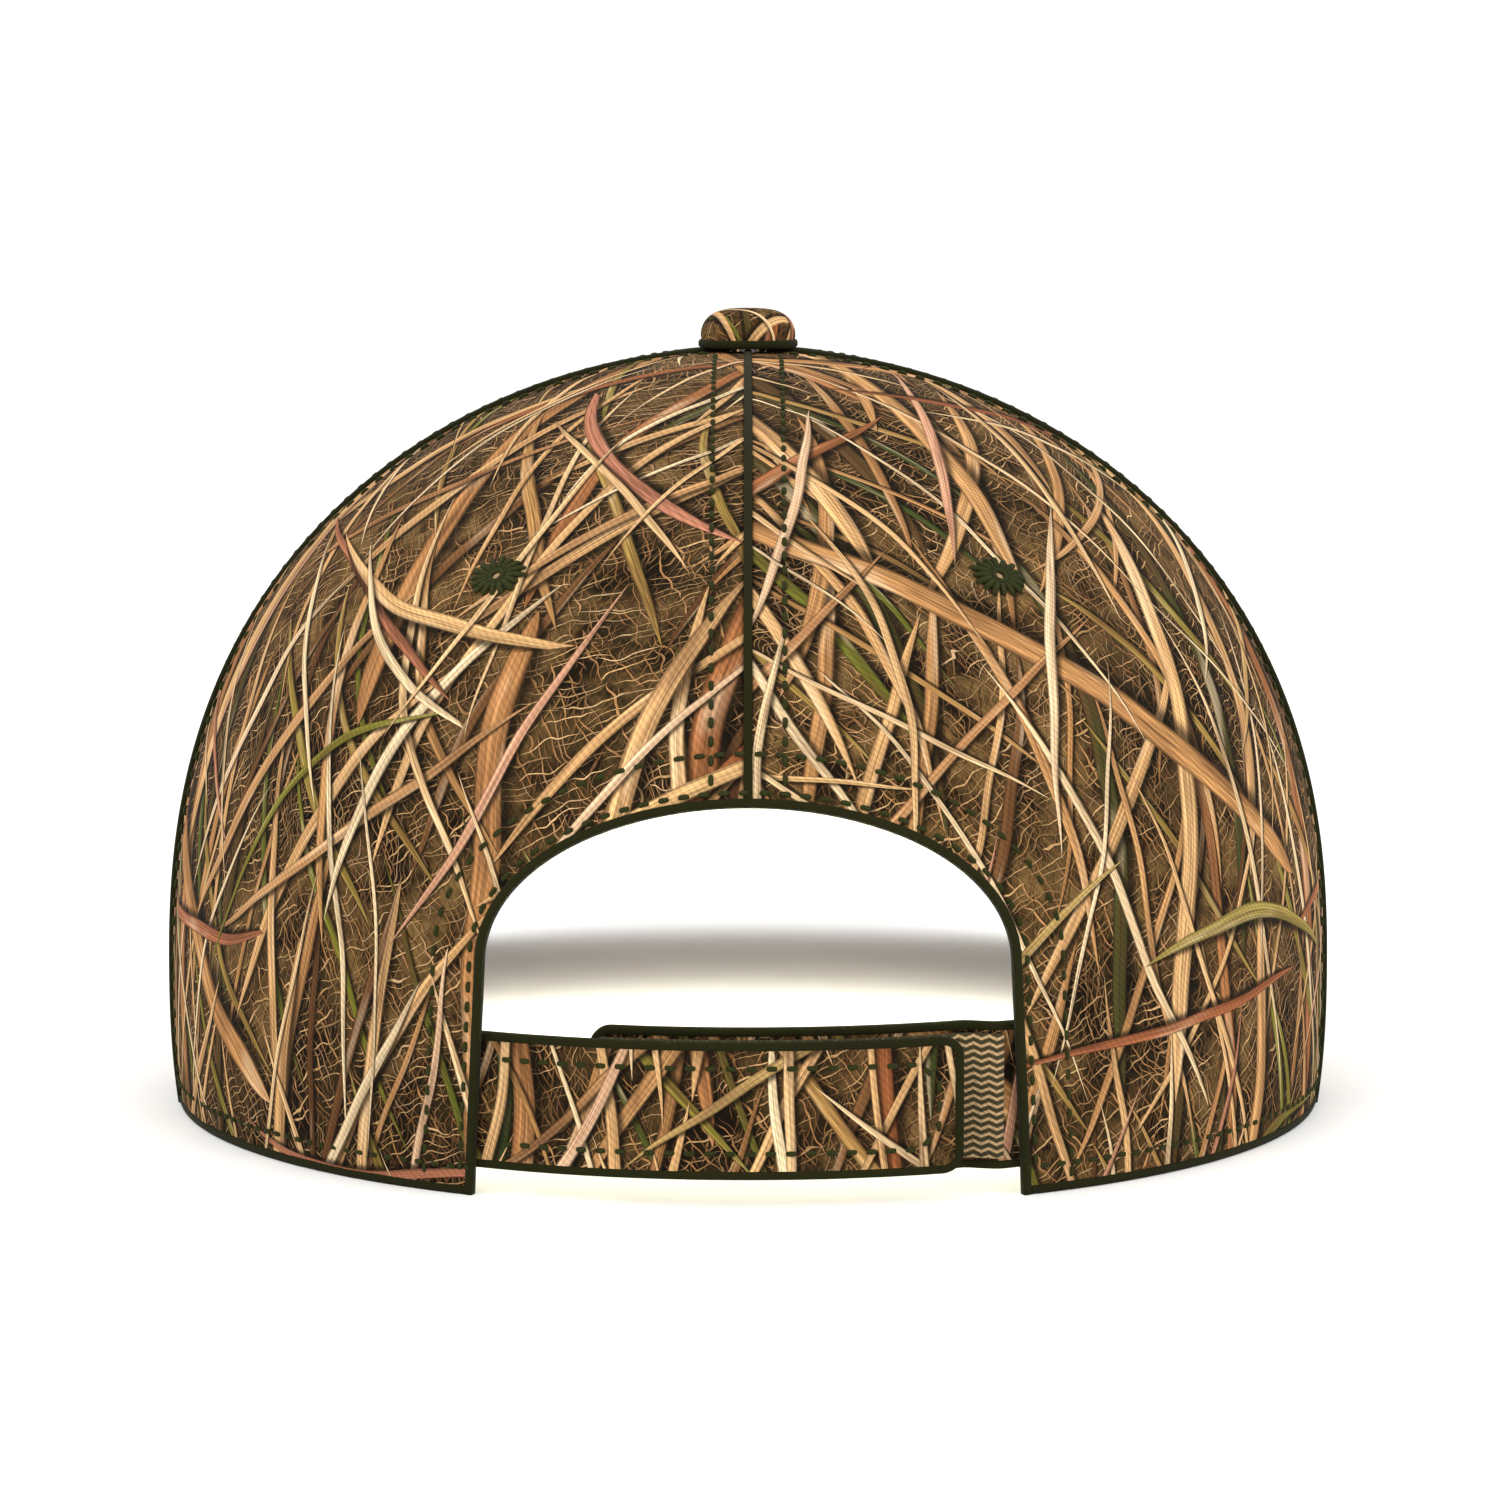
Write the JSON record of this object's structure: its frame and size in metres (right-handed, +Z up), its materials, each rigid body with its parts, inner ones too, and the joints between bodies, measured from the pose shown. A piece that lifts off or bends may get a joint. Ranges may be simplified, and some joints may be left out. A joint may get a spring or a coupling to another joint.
{
  "type": "baseball cap",
  "caption": "Soft cap with a rounded crown of sewn gores, a curved visor and an arched rear opening closed by an adjustable hook-and-loop strap.",
  "frame": {"origin": "centre of the head opening, on the plane that the cap rests on", "axes": "+Z up through the button, -Y forward through the visor, +X to the left of the person who wears it"},
  "size_m": [0.1756, 0.275, 0.1198],
  "materials": {
    "printed_twill": "brushed cotton twill with a marsh-grass print in straw, khaki, brown and olive",
    "visor_twill": "the same printed twill, stitched in rows",
    "buckram": "stiffened white open weave",
    "dark_binding": "dark olive bias tape and cord",
    "seam_tape": "plain woven tape",
    "sweatband_cotton": "soft brushed cotton",
    "embroidery_thread": "satin-stitched thread",
    "visor_board": "moulded sheet, hidden",
    "loop_tape": "brushed loop pile",
    "hook_tape": "woven tape of small hooks",
    "button_metal": "pressed steel, hidden by the cover and the lining"
  },
  "bodies": {
    "crown": {"back_left_panel": "printed_twill", "back_right_panel": "printed_twill", "button_back": "button_metal", "button_base_ring": "dark_binding", "button_cover": "printed_twill", "button_post": "button_metal", "button_shell": "button_metal", "front_left_panel": "printed_twill", "front_left_stiffener": "buckram", "front_right_panel": "printed_twill", "front_right_stiffener": "buckram", "front_seam_piping": "dark_binding", "front_seam_tape": "seam_tape", "left_front_seam_piping": "dark_binding", "left_front_seam_tape": "seam_tape", "left_rear_seam_piping": "dark_binding", "left_rear_seam_tape": "seam_tape", "opening_binding": "dark_binding", "opening_facing": "seam_tape", "outer_strap_anchor": "printed_twill", "rear_seam_piping": "dark_binding", "rear_seam_tape": "seam_tape", "right_front_seam_piping": "dark_binding", "right_front_seam_tape": "seam_tape", "right_rear_seam_piping": "dark_binding", "right_rear_seam_tape": "seam_tape", "rim_binding_left": "dark_binding", "rim_binding_right": "dark_binding", "sewn_eyelets": "embroidery_thread", "side_left_panel": "printed_twill", "side_right_panel": "printed_twill", "sweatband": "sweatband_cotton", "under_strap_anchor": "printed_twill", "visor_board": "visor_board", "visor_piping": "dark_binding", "visor_top_cover": "visor_twill", "visor_under_cover": "visor_twill"},
    "outer_strap": {"outer_strap": "printed_twill", "outer_strap_binding": "dark_binding", "loop_tape": "loop_tape"},
    "strap_tab": {"strap_tab": "printed_twill", "strap_tab_binding": "dark_binding", "tab_loop_tape": "loop_tape"},
    "under_strap": {"under_strap": "printed_twill", "under_strap_binding": "dark_binding", "hook_tape": "hook_tape"}
  },
  "joints": [
    {"name": "outer_strap_swing", "type": "hinge", "parent": "crown", "child": "outer_strap", "pos_m": [0.0356, 0.0902, 0.0134], "axis": [0, 0, -1], "range_deg": [0, 60]},
    {"name": "strap_tab_peel", "type": "hinge", "parent": "outer_strap", "child": "strap_tab", "pos_m": [-0.006, 0.09905, 0.0134], "axis": [0, 0, -1], "range_deg": [0, 100]},
    {"name": "under_strap_fold", "type": "hinge", "parent": "crown", "child": "under_strap", "pos_m": [-0.0356, 0.0902, 0.0134], "axis": [0, 0, -1], "range_deg": [0, 60]}
  ]
}
